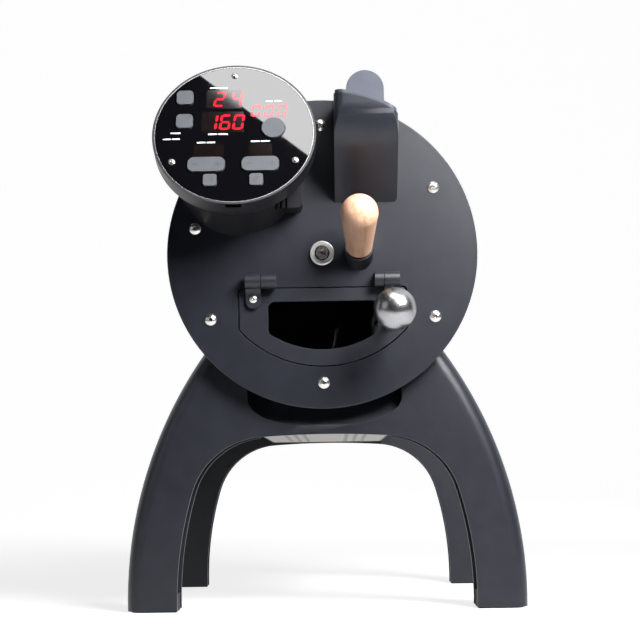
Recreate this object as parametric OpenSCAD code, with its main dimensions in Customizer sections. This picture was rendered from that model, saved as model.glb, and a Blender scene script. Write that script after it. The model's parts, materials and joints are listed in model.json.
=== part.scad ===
// Home coffee bean roaster: a horizontal drum behind a round front plate, on two arched legs.
// Millimetres. +Z is up, -Y faces the user, +X is the user's right.
// The origin is on the table, under the middle of the overall box.

/* [Front plate] */
// Diameter of the round front plate
plate_d = 250; // [240:1:260]
// Thickness of the front plate
plate_t = 3; // [2:0.5:4]
// Height of the drum's axis above the table
axis_h = 287.2; // [284:0.1:296]
// How far inside the shell's outer face the plate's screws sit
screw_inset = 7.7; // [6.5:0.1:9]
// Angles of those screws, seen from the front
screw_angles = [90, 30, -30, -90, -150, 168];
// Shank diameter of the case screws
screw_d = 5; // [4:0.5:5]
// Diameter of the case screws' button heads
screw_head_d = 9.5; // [8:0.5:11]
// Height of the button heads
screw_head_h = 2.8; // [2:0.1:3.5]

/* [Body shell] */
// Outer diameter of the drum's shell
shell_d = 224; // [220:1:226]
// Wall of the shell
shell_wall = 2; // [1.5:0.5:2.5]
// Thickness of the shell's front flange
flange_t = 4; // [3:0.5:5]
// Thickness of the rear cover
cover_t = 3; // [2:0.5:4]

/* [Legs] */
// Width over both feet
foot_span = 325; // [320:1:330]
// Width of one leg
leg_w = 41.4; // [38:0.1:44]
// Radius of the legs' outer curve
leg_r = 347; // [340:1:356]
// Height of the centres of the leg curves above the table
leg_rise = 8; // [4:0.5:12]
// Height of the opening under the arches
arch_h = 142.3; // [139:0.1:144]
// Radius of the crown over the opening
crown_r = 770; // [700:10:900]
// Radius of the opening's upper corners
arch_corner_r = 62; // [56:1:66]
// Wall of the arches
arch_wall = 3; // [2.5:0.5:3.5]
// Radius of the arches' outer edges
arch_edge_r = 13; // [11:0.5:15]
// Depth of the front arch
front_depth = 38; // [34:1:42]
// Depth of the rear arch
rear_depth = 20; // [18:1:24]
// Distance from the front plate's face to the front arch
arch_y = 14; // [12:0.5:16]
// From the front arch's face to the rear arch's back
arch_spread = 305; // [300:1:312]
// Half width of the scoop in the front arch
scoop_half = 63; // [56:1:68]
// Height of the scoop's lower edge
scoop_z = 149.8; // [148:0.1:153]
// Width of the scoop's curved lower corners
scoop_corner_w = 45; // [38:1:50]
// Height of the scoop's curved lower corners
scoop_corner_h = 23; // [20:1:26]
// Slope of the scoop's floor, from upright
scoop_lean = 32; // [25:1:38]
// How far the rubber feet stand out below the legs
foot_out = 1; // [0.5:0.5:3]

/* [Electronics box] */
// Half width of the box under the drum
box_half = 54; // [50:1:58]
// Gap between the arches' opening and the box
box_rise = 1; // [0.5:0.5:3]
// Sheet thickness of the box
box_t = 1.2; // [1:0.1:1.6]
// Diameter of the cooling holes
vent_d = 4; // [3:0.5:5]
// Spacing of the cooling holes
vent_pitch = 8; // [7:0.5:10]

/* [Drum] */
// Gap between the drum and the insulating tube round it
drum_room = 4.5; // [3.5:0.5:7]
// Length of the drum
drum_len = 200; // [190:1:204]
// Wall of the drum
drum_wall = 1.5; // [1:0.25:2]
// Gap between the front plate and the drum
drum_gap = 6; // [5.5:0.5:8]
// Number of mixing vanes
vane_count = 4; // [3:1:6]
// Height of the vanes
vane_h = 26; // [18:1:28]
// Thickness of the vanes
vane_t = 2; // [1.5:0.5:3]
// Slant of the vanes along the drum
vane_slant = 15; // [8:1:20]
// Diameter of the drum's shaft
shaft_d = 12; // [10:0.5:13]
// Diameter of the front bush's polished flange
bush_flange_d = 19.3; // [18.5:0.1:24]
// Outer diameter of the bushes in their seats
bush_d = 16; // [15.5:0.5:17]

/* [Heating] */
// Room between the insulating tube and the shell
coil_room = 14.5; // [14:0.5:15.5]
// Wall of the insulating tube
tube_wall = 3; // [2:0.5:3.5]
// Thickness of the induction coil
coil_t = 4; // [3:0.5:5]
// Length of the induction coil
coil_len = 130; // [100:5:150]

/* [Door] */
// How far the door's round lower edge stays inside the insulating tube
door_room = 2; // [1.5:0.5:4]
// Half width of the door
door_half = 67; // [62:0.5:68]
// Depth of the door's top edge below the drum's axis
door_top = 28; // [28:0.5:30]
// Gap round the door
door_gap = 1; // [0.8:0.1:1.2]
// Width of the door below the window's round lower edge
window_sill = 13; // [11.5:0.5:16]
// Half width of the window
window_half = 44; // [40:0.5:46]
// Depth of the window's top edge below the drum's axis
window_top = 38.3; // [37:0.1:40]
// Thickness of the window glass
glass_t = 3; // [2:0.5:3]
// Diameter of the hinge knuckles
knuckle_d = 12.3; // [11.5:0.1:12.5]
// Depth of the hinge axis below the drum's axis
hinge_z = 22.6; // [22:0.1:23]
// Distance of the hinge axis in front of the plate
hinge_y = 7; // [6.8:0.1:7.5]
// Diameter of the hinge pins
pin_d = 5; // [4:0.5:6]
// Width of the hinge straps
strap_w = 12.3; // [11.5:0.1:13]
// Distance from the middle to the middle of each strap
strap_x = 55.7; // [55:0.1:58]
// Thickness of the straps
strap_t = 3; // [2.5:0.5:3.5]
// Diameter of the steel ball on the door
ball_d = 33; // [28:0.5:34]
// Distance of the ball's centre in front of the plate
ball_y = 55; // [50:1:58]
// Depth of the ball's centre below the drum's axis
ball_z = 52; // [51:0.5:55]
// Diameter of the ball's stem
stem_d = 8; // [6:0.5:9]

/* [Trier] */
// Place of the trier beside the drum's axis
trier_x = 29.8; // [28:0.1:30]
// Depth of the trier below the drum's axis, at the plate's face
trier_z = 1.6; // [0:0.1:3]
// Slope of the trier, up towards the user
trier_tilt = 28; // [26:0.5:30]
// Diameter of the trier's rod
trier_d = 11; // [9:0.5:11]
// Length of the trier inside the plate
trier_in = 58; // [50:1:62]
// Diameter of the collar's neck at the plate
collar_d = 22.5; // [21:0.1:23]
// Diameter of the collar's rim
rim_d = 23.5; // [23:0.1:24]
// Length of the collar
collar_len = 8.8; // [8:0.1:10]
// Distance of the handle's round end from the plate, along the trier
handle_len = 54.4; // [52:0.1:58]
// Radius of the handle's round end
handle_r = 14.7; // [13.5:0.1:15.2]
// Radius of the handle at the collar
handle_neck_r = 10.3; // [9.5:0.1:10.5]

/* [Bean chute] */
// Width of the chute
chute_w = 50; // [46:1:52]
// Middle of the chute beside the drum's axis
chute_x = 36; // [34:0.5:37]
// Radius of the chute's top edge about the drum's axis
chute_top_r = 118; // [115:0.5:121]
// How far the chute stands out of the plate
chute_reach = 55; // [50:1:58]
// Height of the chute's lowest edge above the drum's axis
chute_low = 41; // [38:0.5:44]
// Height where the chute's front turns upright
chute_turn = 110; // [106:0.5:112]
// Radius of the bend below the upright part of the chute's front
chute_bend_r = 45; // [40:1:50]
// Wall of the chute
chute_wall = 2.5; // [2:0.25:3]
// Radius of the chute's upright edges
chute_edge_r = 8; // [6:0.5:10]
// Width of the plug's tab
tab_w = 30; // [26:1:32]
// Height of the tab's top above the drum's axis
tab_top = 141.5; // [138:0.5:145]
// Distance of the tab in front of the plate
tab_y = 25; // [22:0.5:28]

/* [Control pod] */
// Radius of the pod
pod_r = 63.8; // [63.5:0.1:65]
// Middle of the pod's face beside the drum's axis
pod_x = -66.7; // [-69:0.1:-66]
// Height of the pod's face above the drum's axis
pod_z = 88; // [85:0.1:89]
// Distance of the pod's face in front of the plate
pod_y = 47; // [46:0.5:50]
// Backward tilt of the pod's face
pod_tilt = 20.8; // [19:0.1:22]
// Depth of the pod's skirt
skirt_h = 18; // [17:0.5:19]
// Radius of the pod's neck
neck_r = 51; // [49:0.5:52]
// Width of the rim round the glass
rim_w = 2.4; // [2:0.1:3]
// Thickness of the pod's glass
pod_glass_t = 3; // [2.5:0.1:3.1]
// Gap round the keys in the glass
key_gap = 0.5; // [0.4:0.05:0.7]
// How far the keys stand out of the glass
key_out = 1.2; // [1:0.1:1.6]

/* [Rear machinery] */
// Diameter of the drum's pulley
drum_pulley_d = 72; // [66:1:74]
// Diameter of the motor's pulley
motor_pulley_d = 22; // [18:1:26]
// Direction of the drive motor from the drum's axis, seen from the front
motor_angle = 222; // [218:1:226]
// Gap between the drive motor and the shell
motor_room = 4; // [3:0.5:6]
// Diameter of the drive motor
motor_d = 56; // [50:1:58]
// Length of the drive motor
motor_len = 50; // [40:1:56]
// Thickness of the drive belt
belt_t = 2; // [1.5:0.25:2.5]
// Width of the drive belt
belt_w = 10; // [8:1:11]
// Outer radius of the exhaust fan's housing
housing_r = 52; // [50:0.5:53]
// Gap between the exhaust fan's housing and the shell
fan_room = 6; // [4:0.5:7]
// Outer radius of the exhaust collar that the chaff can slides over
collar_r = 48; // [45:0.5:49]
// Length of the exhaust collar behind the rear cover
collar_out = 16; // [12:1:20]
// Radius of the chaff can
can_r = 62; // [58:1:66]
// Length of the chaff can
can_len = 92; // [80:1:100]
// Outer radius of the duct spigot
spigot_r = 30; // [28:0.5:32]
// Length of the duct spigot
spigot_len = 16; // [12:1:25]
// Side of the square cooling fan
cool_side = 50; // [48:1:52]
// Gap between the cooling fan's outer corner and the shell
cool_room = 9.5; // [7:0.5:11]

/* [Hidden] */

$fn = 96;

// Clearances
fit = 0.05;              // radial running fit
seat = 0.2;              // between pieces of one body that touch
apart = 0.3;             // between pieces that move past each other
play = 0.6;              // beside a part that swings

// Stations along the drum's axis, from the front plate's face towards the back
shell_y = plate_t;
drum_y = plate_t + drum_gap;
drum_back = drum_y + drum_len;
bulk_y = drum_back + 6;
bulk_t = 3;
rear_face = arch_y + arch_spread;
shell_end = rear_face + 1;
cover_back = shell_end + cover_t;
can_y = cover_back + 5;
can_back = can_y + can_len;
cap_t = 4;
spigot_end = can_back + cap_t + spigot_len;

// The overall box, so that the origin stays under its middle
front_reach = max(ball_y + ball_d / 2, pod_y + pod_r * sin(pod_tilt) + key_out,
    handle_len * cos(trier_tilt) + handle_r);
plate_y = (front_reach - spigot_end) / 2;

shell_r = shell_d / 2;
shell_in = shell_r - shell_wall;
tube_r = shell_in - coil_room;
drum_r = tube_r - tube_wall - drum_room;
shaft_r = shaft_d / 2;
floor_z = -axis_h;
foot_half = foot_span / 2;
screw_ring_r = shell_r - screw_inset;
door_r = tube_r - tube_wall - door_room;
window_r = door_r - window_sill;

// Places behind the drum, across and up from its axis
motor_at = (shell_in - motor_d / 2 - motor_room) * [cos(motor_angle), sin(motor_angle)];
cool_at = ((shell_in - cool_room) * cos(45) - cool_side / 2) * [1, -1];
fan_z = shell_in - housing_r - fan_room;

// Colours
coat = [0.10, 0.11, 0.13];
dark = [0.07, 0.07, 0.08];
steel = [0.75, 0.75, 0.76];
rubber = [0.30, 0.31, 0.33];
beech = [0.80, 0.63, 0.42];
sheet = [0.62, 0.60, 0.57];
brass = [0.72, 0.58, 0.30];
copper = [0.72, 0.42, 0.24];
wool = [0.86, 0.84, 0.78];
board = [0.05, 0.25, 0.14];
clear_glass = [0.55, 0.60, 0.62];

// ---------------------------------------------------------------- placing

// The middle of the front plate's face: x across, y back, z up
module at_plate() { translate([0, plate_y, axis_h]) children(); }

// A flat outline in x and z, given depth from y0 to y1
module slab(y0, y1) { translate([0, y1, 0]) rotate([90, 0, 0]) linear_extrude(y1 - y0) children(); }

// A flat outline in y and z, given width from x0 to x1
module side_slab(x0, x1) { translate([x0, 0, 0]) rotate([90, 0, 90]) linear_extrude(x1 - x0) children(); }

// A round bar along y
module rod(r, y0, y1) { translate([0, y0, 0]) rotate([-90, 0, 0]) cylinder(r = r, h = y1 - y0); }

// A tube along y
module pipe(r_out, r_in, y0, y1) {
    difference() {
        rod(r_out, y0, y1);
        rod(r_in, y0 - 1, y1 + 1);
    }
}

// A profile of radius and y, turned about the y axis
module turned() { rotate([-90, 0, 0]) rotate_extrude() children(); }

module mirrored() {
    children();
    mirror([1, 0, 0]) children();
}

// Points on an arc from angle a0 to a1 in n steps; the first one is left out unless first is 0
function arc(c, r, a0, a1, n, first = 1) =
    [for (i = [first : n]) let (a = a0 + (a1 - a0) * i / n) c + r * [cos(a), sin(a)]];

// An outline's right half, closed with its mirror image
module both_halves(p) { polygon(concat(p, [for (i = [len(p) - 1 : -1 : 0]) [-p[i][0], p[i][1]]])); }

// A rectangle with round corners, about its middle
module rounded(w, h, r) {
    square([w - 2 * r, h], center = true);
    square([w, h - 2 * r], center = true);
    for (sx = [-1, 1], sy = [-1, 1]) translate([sx * (w / 2 - r), sy * (h / 2 - r)]) circle(r);
}

// The same with only the lower corners round, standing on y = 0
module rounded_foot(w, h, r) {
    translate([-w / 2, r]) square([w, h - r]);
    translate([-w / 2 + r, 0]) square([w - 2 * r, h]);
    for (s = [-1, 1]) translate([s * (w / 2 - r), r]) circle(r);
}

// A button-head screw with a hex socket: the head stands out towards -y from y = 0
module button_screw(d, head_d, head_h, len) {
    dome_h = head_h * 0.75;
    dome_r = (pow(head_d / 2, 2) + pow(dome_h, 2)) / (2 * dome_h);
    dome_a = asin(head_d / 2 / dome_r);
    difference() {
        turned() polygon(concat([[0, len], [d / 2, len], [d / 2, 0], [head_d / 2, 0]],
            arc([0, dome_r - head_h], dome_r, dome_a - 90, -90, 6, 0)));
        translate([0, -head_h - 1, 0]) rotate([-90, 0, 0])
            cylinder(d = d * 0.7, h = 1 + head_h * 0.7, $fn = 6);
    }
}

// ---------------------------------------------------------------- legs

leg_cx = leg_r - foot_half;
leg_cz = floor_z + leg_rise;
leg_in = leg_r - leg_w;
leg_start = 4;

// Where two circles meet, on the left of the line from the first to the second
function meet(a, ra, b, rb) =
    let (d = norm(b - a), u = (b - a) / d, s = (ra * ra - rb * rb + d * d) / (2 * d))
    a + u * s + [-u[1], u[0]] * sqrt(ra * ra - s * s);

function angle_to(a, b) = atan2(b[1] - a[1], b[0] - a[0]);

crown_c = [0, floor_z + arch_h - crown_r];
corner_at = meet([-leg_cx, leg_cz], leg_in - arch_corner_r, crown_c, crown_r - arch_corner_r);

// The space between two leg curves of radius r
module leg_lens(r) {
    intersection() {
        translate([-leg_cx, leg_cz]) circle(r);
        translate([leg_cx, leg_cz]) circle(r);
    }
}

// The arch seen from the front, drawn in by inset, from its foot to the drum's axis
module arch_outline(inset) {
    intersection() {
        leg_lens(leg_r - inset);
        translate([-foot_half, floor_z + foot_out]) square([foot_span, axis_h]);
    }
}

// The opening under an arch: the legs' inner curves, two round corners and a slight crown
module arch_opening() {
    leg_c = [-leg_cx, leg_cz];
    leg_a = angle_to(leg_c, corner_at);
    crown_a = angle_to(crown_c, corner_at);
    both_halves(concat(arc(leg_c, leg_in, -leg_start, leg_a, 36, 0),
        arc(corner_at, arch_corner_r, leg_a, crown_a, 12),
        arc(crown_c, crown_r, crown_a, 90 - (90 - crown_a) / 10, 5)));
}

// One end of the channel that forms a leg's outer side: x is the radius, y the depth
module channel_solid(depth, r, edge, flange) {
    translate([r - flange, -depth / 2]) square([flange - edge, depth]);
    translate([r - flange, edge - depth / 2]) square([flange, depth - 2 * edge]);
    for (s = [-1, 1]) translate([r - edge, s * (depth / 2 - edge)]) circle(edge);
}

// An arch of pressed sheet: front and back webs, a curved outer wall and a saddle for the shell
module arch(y0, depth) {
    edge = min(arch_edge_r, depth / 2 - 1);
    y1 = y0 + depth;
    lap = 2 * edge + 1;
    difference() {
        union() {
            for (y = [y0, y1 - arch_wall]) slab(y, y + arch_wall) arch_outline(edge + 4);
            mirrored() translate([-leg_cx, (y0 + y1) / 2, leg_cz]) rotate([90, 0, 0])
                rotate_extrude(angle = 41 + leg_start, start = -leg_start) difference() {
                    channel_solid(depth, leg_r, edge, lap);
                    channel_solid(depth - 2 * arch_wall, leg_r - arch_wall, edge - arch_wall, lap);
                }
            slab(y0 + arch_wall, y1 - arch_wall) intersection() {
                arch_outline(edge + 4);
                difference() {
                    circle(shell_r + seat + arch_wall);
                    translate([-box_half - 2, floor_z]) square([2 * box_half + 4, axis_h]);
                }
            }
        }
        rod(shell_r + seat, y0 - 1, y1 + 1);
        slab(y0 - 1, y1 + 1) arch_opening();
        translate([-foot_span, y0 - 1, floor_z - 50]) cube([2 * foot_span, depth + 2, 50 + foot_out]);
        arch_screws_at(y0, depth) rod(screw_d / 2 + seat, -40, 40);
    }
}

// The places of the screws that hold the shell down on an arch's saddles
saddle_angle = 41;
module arch_screws_at(y0, depth) {
    for (s = [-1, 1]) rotate([0, s * saddle_angle, 0])
        translate([0, y0 + depth / 2, -shell_r - seat - arch_wall]) rotate([90, 0, 0]) children();
}

// The scoop's outline: upright sides and a long curve at each lower corner
module scoop_outline(grow) {
    w = scoop_corner_w + grow;
    h = scoop_corner_h + grow;
    both_halves(concat([for (a = [0 : 6 : 90]) [scoop_half - scoop_corner_w + w * sin(a), h * (1 - cos(a))]],
        [[scoop_half + grow, 60]]));
}

// The scoop that leads beans away from the door: a pocket whose floor leans back as it rises
module scoop_pocket(grow) {
    intersection() {
        slab(arch_y - 1, arch_y + front_depth)
            translate([0, floor_z + scoop_z - grow]) scoop_outline(grow);
        translate([-scoop_half * 2, arch_y, floor_z + scoop_z]) rotate([-scoop_lean, 0, 0])
            translate([0, -80, -40]) cube([scoop_half * 4, 80 + grow, 120]);
    }
}

module front_arch() {
    color(coat) at_plate() difference() {
        union() {
            arch(arch_y, front_depth);
            intersection() {
                scoop_pocket(arch_wall);
                slab(arch_y, arch_y + front_depth - arch_wall - seat) difference() {
                    arch_outline(arch_edge_r);
                    circle(shell_r + seat);
                    arch_opening();
                }
            }
        }
        scoop_pocket(0);
        box_notch(arch_y + front_depth);
    }
}

module rear_arch() {
    color(coat) at_plate() difference() {
        arch(rear_face - rear_depth, rear_depth);
        box_notch(rear_face - rear_depth + arch_wall);
    }
}

// The way for the electronics box through an arch's inner web, which ends at y
module box_notch(y) {
    translate([-box_half - seat, y - arch_wall - 1, floor_z + arch_h - 5])
        cube([2 * (box_half + seat), arch_wall + 2, 60]);
}

// A rubber foot closes the end of each leg's channel
module foot_plug(y0, depth) {
    edge = min(arch_edge_r, depth / 2 - 1);
    inner = arch_wall + seat;
    intersection() {
        translate([-leg_cx, y0 + depth / 2, leg_cz]) rotate([90, 0, 0])
            rotate_extrude(angle = 5 + leg_start, start = -leg_start) intersection() {
                channel_solid(depth - 2 * inner, leg_r - inner, edge - arch_wall, leg_w - inner - 1);
                translate([leg_in, -depth]) square([leg_w, 2 * depth]);
            }
        translate([0, y0, floor_z]) cube([foot_span, depth, 14]);
    }
}

module feet() {
    color(dark) at_plate() mirrored() {
        foot_plug(arch_y, front_depth);
        foot_plug(rear_face - rear_depth, rear_depth);
    }
}

// ---------------------------------------------------------------- electronics box

box_z = floor_z + arch_h + box_rise;
box_y0 = arch_y + arch_wall + seat;
box_y1 = rear_face - arch_wall - seat;

// The two side walls of the box, folded in at the bottom and cut to the shell
module box_sides() {
    color(dark) at_plate() difference() {
        mirrored() {
            translate([box_half - box_t, box_y0 + seat, box_z]) cube([box_t, box_y1 - box_y0 - 2 * seat, 60]);
            translate([box_half - 10, box_y0 + seat, box_z + box_t + seat])
                cube([10, box_y1 - box_y0 - 2 * seat, box_t]);
        }
        rod(shell_r + seat, 0, shell_end);
        scoop_pocket(arch_wall + seat);
        case_fix_cover() rod(screw_d / 2 + seat, -20, 20);
    }
}

// Screws that hold the perforated cover: two rows at the folded edges
cover_screw_x = box_half - 5;
module case_fix_cover() {
    for (sx = [-1, 1], y = [box_y0 + 8, box_y1 - 8])
        translate([sx * cover_screw_x, y, box_z]) rotate([90, 0, 0]) children();
}

module bottom_cover() {
    rows = floor((box_y1 - box_y0 - 30) / vent_pitch);
    color(sheet) at_plate() difference() {
        translate([-box_half + box_t + seat, box_y0, box_z])
            cube([2 * (box_half - box_t - seat), box_y1 - box_y0, box_t]);
        for (s = [-1, 1], col = [0 : 2], row = [0 : rows - 1]) {
            y = box_y0 + 15 + (row + (col % 2) / 2) * vent_pitch;
            translate([s * (18 + col * vent_pitch), y, box_z - 1]) cylinder(d = vent_d, h = box_t + 2);
        }
        case_fix_cover() rod(screw_d / 2 + seat, -20, 20);
    }
}

module power_board() {
    room = -shell_r - box_z;
    z = box_z + 0.28 * room;
    top = z + 1.6;
    tall = 0.43 * room;
    half = box_half - 14;
    len = 150;
    at_plate() translate([0, box_y0 + 58, 0]) {
        color(board) translate([-half, 0, z]) cube([2 * half, len, 1.6]);
        color(sheet) for (i = [0 : 4]) translate([6 - half, 15 + i * 12, top]) cube([30, 3, tall]);
        color(sheet) translate([6 - half, 15, top]) cube([30, 51, 2]);
        color(dark) for (x = [10, 28], y = [25, 55]) translate([x, y, top]) cylinder(r = 7, h = tall);
        color(brass) for (sx = [-1, 1], y = [7, len - 7])
            translate([sx * (half - 5), y, box_z + box_t]) cylinder(r = 3, h = z - box_z - box_t);
    }
}

// ---------------------------------------------------------------- body

module shell_holes() {
    for (a = screw_angles) rotate([0, -a, 0]) translate([screw_ring_r, 0, 0]) children();
}

module front_plate() {
    color(coat) at_plate() difference() {
        turned() polygon([[0, 0], [plate_d / 2 - 0.6, 0], [plate_d / 2, 0.6],
            [plate_d / 2, plate_t], [0, plate_t]]);
        slab(-1, plate_t + 1)
            d_shape(door_r + door_gap, door_half + door_gap, door_top - door_gap, door_corner);
        intersection() {
            translate([chute_x - chute_w / 2 + chute_wall, -1, chute_floor])
                cube([chute_w - 2 * chute_wall, plate_t + 2, chute_top_r]);
            rod(tube_r - tube_wall - 0.5, -2, plate_t + 2);
        }
        rod(bush_d / 2, -1, plate_t + 1);
        shell_holes() rod(screw_d / 2 + seat, -1, plate_t + 1);
        at_trier() rod(collar_d / 2 - 1.5, -20, 30);
        translate([pod_x, 0, neck_z]) rod(8, -1, plate_t + 1);
    }
}

module body_shell() {
    vents = 9;
    color(coat) at_plate() difference() {
        union() {
            pipe(shell_r, shell_in, shell_y, shell_end);
            pipe(shell_r - 0.5, tube_r - tube_wall + 0.5, shell_y, shell_y + flange_t);
        }
        shell_holes() rod(screw_d / 2 + fit, 0, shell_y + flange_t + 1);
        for (y0d = [[arch_y, front_depth], [rear_face - rear_depth, rear_depth]])
            arch_screws_at(y0d[0], y0d[1]) rod(screw_d / 2 + fit, -40, 40);
        for (s = [-1, 1], i = [0 : vents - 1]) rotate([0, s * 90 + (i - (vents - 1) / 2) * 6, 0])
            translate([-2, bulk_y + 24, shell_r - 6]) cube([4, 50, 10]);
        translate([-18, bulk_y - 60, -shell_r - 5]) cube([36, 30, 12]);
        rear_screws_at() rod(screw_d / 2 + fit, -20, 20);
    }
}

module front_bush() {
    color(steel) at_plate() difference() {
        union() {
            turned() polygon([[0, -4], [bush_flange_d / 2 - 0.6, -4], [bush_flange_d / 2, -3.4],
                [bush_flange_d / 2, -2.4], [bush_flange_d / 2 - 1, -2], [bush_flange_d / 2 - 1, -1.2],
                [bush_flange_d / 2, -0.8], [bush_flange_d / 2, 0], [0, 0]]);
            rod(bush_d / 2, 0, plate_t + 5);
        }
        rod(shaft_r + fit, -5, plate_t + 6);
    }
}

module insulation_tube() {
    color(wool) at_plate() pipe(tube_r, tube_r - tube_wall, shell_y + flange_t, bulk_y);
}

module induction_coil() {
    mid = (drum_y + drum_back) / 2;
    r = tube_r + seat;
    color(copper) at_plate() pipe(r + coil_t, r, mid - coil_len / 2, mid + coil_len / 2);
}

// The duct passes between the drum's pulley and the shell
duct_wall = 2;
duct_room = shell_in - drum_pulley_d / 2;
duct_r = (duct_room - 10) / 2 - duct_wall;
duct_z = shell_in - duct_room / 2 + 1.5;
housing_y = bulk_y + 32;

// The wall behind the drum, with the bearing's seat, the duct's mouth and the motor's bracket
module bulkhead() {
    bracket_y = pulley_y + belt_w + 8;
    color(sheet) at_plate() difference() {
        union() {
            rod(shell_in - seat, bulk_y, bulk_y + bulk_t);
            rod(bush_d / 2 + 4, bulk_y, bulk_y + bulk_t + 5);
            translate([motor_at[0], 0, motor_at[1]]) for (a = [58, 138, 218])
                rotate([0, a, 0]) translate([motor_d / 2 - 6, 0, 0]) rod(4, bulk_y + 1, bracket_y);
            translate([motor_at[0], 0, motor_at[1]]) rod(motor_d / 2, bracket_y, bracket_y + 2);
        }
        rod(bush_d / 2 + 1, bulk_y - 1, bulk_y + 9);
        translate([0, 0, duct_z]) rod(duct_r, bulk_y - 1, bulk_y + bulk_t + 1);
        translate([motor_at[0], 0, motor_at[1]]) rod(6, bracket_y - 1, bracket_y + 3);
    }
}

module rear_bearing() {
    color(steel) at_plate() pipe(bush_d / 2 + 1, shaft_r + fit, bulk_y - 2, bulk_y + 8);
}

// ---------------------------------------------------------------- drum

module drum() {
    color(steel) at_plate() difference() {
        union() {
            pipe(drum_r, drum_r - drum_wall, drum_y, drum_back);
            rod(drum_r - 0.5, drum_back - 2.5, drum_back);
            rod(14, drum_back - 14, drum_back + 2);
            pipe(drum_r, drum_r - 4, drum_y, drum_y + 1.5);
        }
        rod(shaft_r, drum_back - 20, drum_back + 5);
        for (ring = [2 : 5], i = [0 : ring * 4 - 1]) rotate([0, i * 90 / ring, 0])
            translate([drum_r * ring * 0.16, 0, 0]) rod(3, drum_back - 4, drum_back + 1);
    }
}

// Slanted vanes that lift and mix the beans, and the spider that carries the drum's front half
vane_start = -104;
module drum_vanes() {
    r_out = drum_r - drum_wall;
    r_in = r_out - vane_h;
    y0 = drum_y + 3;
    len = drum_len - 8;
    spider_y = drum_y + 78;
    color(steel) at_plate() {
        for (i = [0 : vane_count - 1]) rotate([0, -vane_start - i * 360 / vane_count, 0]) intersection() {
            pipe(r_out - 0.1, r_in, y0, y0 + len);
            translate([0, y0 + len / 2, 0]) rotate([-vane_slant, 0, 0])
                translate([r_in / 2, -len, -vane_t / 2]) cube([r_out, 2 * len, vane_t]);
        }
        difference() {
            union() {
                rod(11, spider_y, spider_y + 12);
                for (i = [0 : 2]) rotate([0, 30 + i * 120, 0])
                    translate([8, spider_y + 2, -4]) cube([r_out - 8.2, 4, 8]);
            }
            rod(shaft_r, spider_y - 1, spider_y + 13);
        }
    }
}

pulley_y = bulk_y + bulk_t + 8;

module drum_shaft() {
    color(steel) at_plate() difference() {
        rod(shaft_r, -1, pulley_y + belt_w + 4);
        rod(2.5, -2, 12);
    }
}

module shaft_screw() {
    color(steel) at_plate() difference() {
        union() {
            rod(5, -6, -1);
            rod(2.5, -1, 10);
        }
        translate([0, -7, 0]) rotate([-90, 0, 0]) cylinder(r = 2.6, h = 4, $fn = 6);
    }
}

// A flat pulley with a rim on each side
module pulley(d, bore) {
    difference() {
        union() {
            rod(d / 2, pulley_y, pulley_y + belt_w);
            for (y = [pulley_y - 1.5, pulley_y + belt_w]) rod(d / 2 + 1.5, y, y + 1.5);
        }
        rod(bore, pulley_y - 2, pulley_y + belt_w + 2);
    }
}

module drum_pulley() {
    color(dark) at_plate() difference() {
        pulley(drum_pulley_d, shaft_r + fit);
        for (a = [0 : 60 : 300]) rotate([0, a, 0]) translate([drum_pulley_d / 3.6, 0, 0])
            rod(drum_pulley_d / 10, pulley_y - 2, pulley_y + belt_w + 2);
    }
}

module motor_pulley() {
    color(steel) at_plate() translate([motor_at[0], 0, motor_at[1]]) {
        pulley(motor_pulley_d, 3);
        rod(3, pulley_y - 1, pulley_y + belt_w + 9);
    }
}

// The belt's outline: an arc round each pulley, joined by the outer tangents
module belt_loop(grow) {
    ra = drum_pulley_d / 2 + grow;
    rb = motor_pulley_d / 2 + grow;
    d = norm(motor_at);
    lean = acos((ra - rb) / d);
    steps = 24;
    round_drum = [for (i = [0 : steps]) let (a = lean + i * (360 - 2 * lean) / steps) ra * [cos(a), sin(a)]];
    round_motor = [for (i = [0 : steps]) let (a = -lean + i * 2 * lean / steps)
        [d + rb * cos(a), rb * sin(a)]];
    rotate(atan2(motor_at[1], motor_at[0])) polygon(concat(round_drum, round_motor));
}

module drive_belt() {
    color(rubber) at_plate() slab(pulley_y + 0.4, pulley_y + belt_w - 0.4) difference() {
        belt_loop(apart + belt_t);
        belt_loop(apart);
    }
}

module drive_motor() {
    y0 = pulley_y + belt_w + 10;
    color(sheet) at_plate() translate([motor_at[0], 0, motor_at[1]]) difference() {
        union() {
            turned() polygon([[0, y0], [motor_d / 2, y0], [motor_d / 2, y0 + motor_len - 4],
                [motor_d / 2 - 4, y0 + motor_len], [0, y0 + motor_len]]);
            rod(10, y0 + motor_len, y0 + motor_len + 3);
        }
        rod(3 + fit, y0 - 1, y0 + 8);
    }
}

// ---------------------------------------------------------------- exhaust

module at_fan() { at_plate() translate([0, 0, fan_z]) children(); }

module fan_housing() {
    end = shell_end - 1;
    color(dark) at_plate() difference() {
        union() {
            translate([0, 0, fan_z]) rod(housing_r, housing_y, end);
            translate([0, 0, duct_z]) rod(duct_r + duct_wall, bulk_y + bulk_t, housing_y + 1);
        }
        translate([0, 0, fan_z]) rod(housing_r - 2, housing_y + 2, end + 1);
        translate([0, 0, duct_z]) rod(duct_r, bulk_y, housing_y + 3);
    }
}

fan_y = housing_y + 30;
hub_r = 8;
module fan_motor() {
    color(sheet) at_fan() {
        rod(20, housing_y + 2, fan_y - 8);
        rod(2, fan_y - 9, fan_y + 14);
    }
}

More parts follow.
